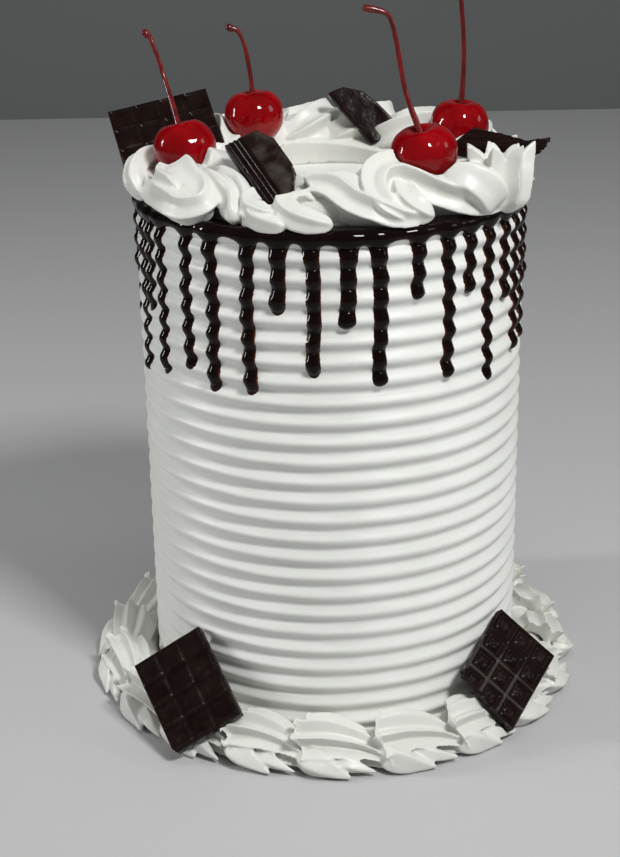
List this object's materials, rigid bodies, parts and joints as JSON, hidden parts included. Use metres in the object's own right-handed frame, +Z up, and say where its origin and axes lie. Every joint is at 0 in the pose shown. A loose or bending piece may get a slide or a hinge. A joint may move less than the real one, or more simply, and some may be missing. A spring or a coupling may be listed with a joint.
{
  "type": "ice cream cake",
  "caption": "Tall round ice cream cake in ribbed white icing with chocolate drips, piped cream, stemmed cherries and bits of moulded chocolate.",
  "frame": {"origin": "centre of the cake's flat base", "axes": "+Z up the cake's axis; -Y towards the front, which shows in the usual view; +X to the right seen from the front"},
  "size_m": [0.2029, 0.2007, 0.2799],
  "materials": {
    "icing": "soft white cream icing",
    "cream": "satin whipped cream",
    "chocolate_sauce": "wet gloss",
    "cherry": "syrup gloss",
    "stem": "syrup gloss",
    "chocolate": "satin moulded chocolate"
  },
  "bodies": {
    "root": {"cake": "icing", "top_cream": "cream", "base_border": "cream", "cherry_1": "cherry", "cherry_2": "cherry", "cherry_3": "cherry", "cherry_4": "cherry", "stem_1": "stem", "stem_2": "stem", "stem_3": "stem", "stem_4": "stem", "chocolate_top_back_left": "chocolate", "chocolate_top_front_left": "chocolate", "chocolate_top_back": "chocolate", "chocolate_top_right": "chocolate", "chocolate_base_left": "chocolate", "chocolate_base_right": "chocolate"}
  },
  "joints": []
}
